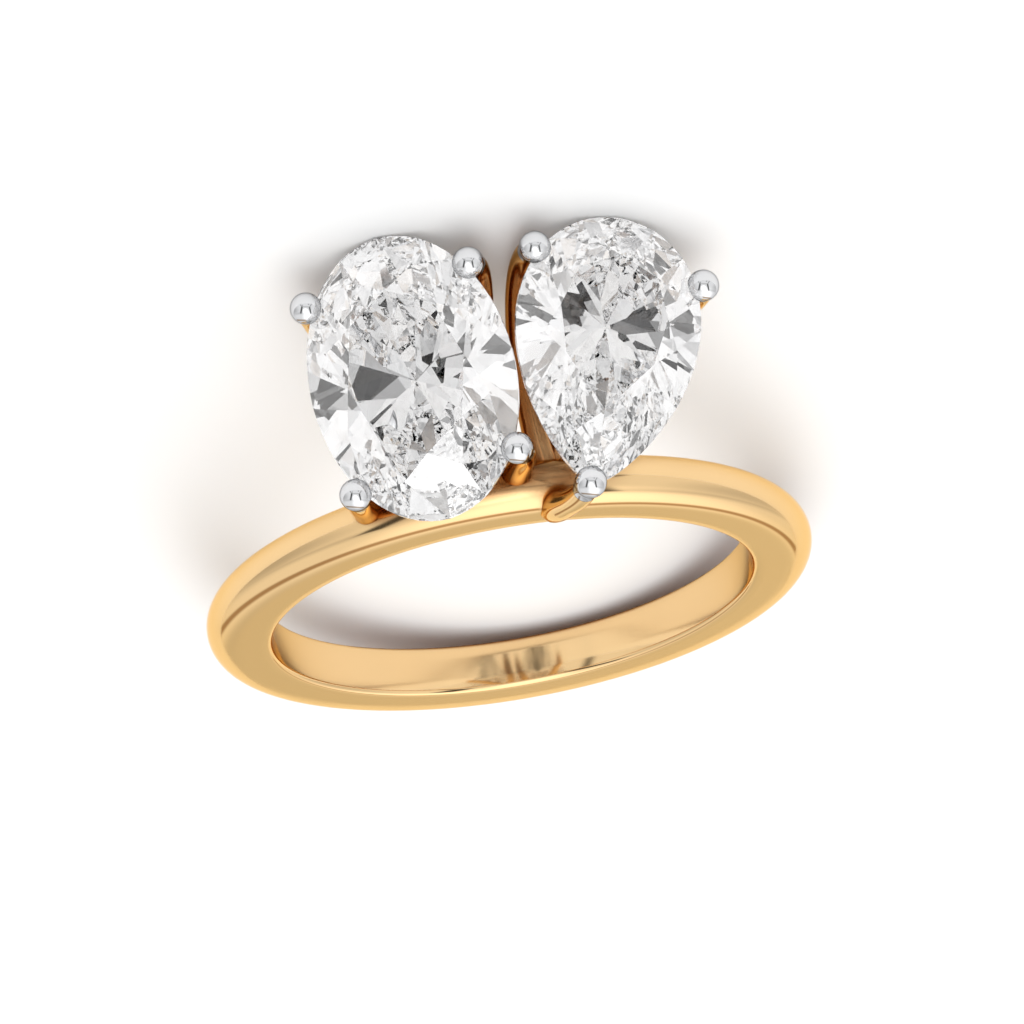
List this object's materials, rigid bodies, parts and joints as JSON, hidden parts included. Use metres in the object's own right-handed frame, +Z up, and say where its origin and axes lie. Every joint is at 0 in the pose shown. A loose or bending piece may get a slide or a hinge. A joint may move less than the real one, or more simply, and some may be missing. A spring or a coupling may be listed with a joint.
{
  "type": "toi et moi ring",
  "caption": "Plain domed gold ring lying on its side, with an oval and a pear brilliant set side by side and turned apart, each in claws of yellow gold with round white tips.",
  "frame": {"origin": "on the surface that the ring lies on, under the middle of its box", "axes": "+Z up from the surface, +Y from the two stones to the palm side of the band, +X across the band, from the pear stone towards the oval"},
  "size_m": [0.0208, 0.0256, 0.0089],
  "materials": {
    "yellow_gold": "polished 14 carat yellow gold, with faint hairlines from wear",
    "white_gold": "polished rhodium-plated white gold",
    "diamond": "polished facets of a near colourless stone, refractive index 2.42"
  },
  "bodies": {
    "root": {"ring_mount": "yellow_gold", "oval_stone": "diamond", "pear_stone": "diamond", "oval_tip_1": "white_gold", "oval_tip_2": "white_gold", "oval_tip_3": "white_gold", "oval_tip_4": "white_gold", "pear_tip_1": "white_gold", "pear_tip_2": "white_gold", "pear_tip_3": "white_gold"}
  },
  "joints": []
}
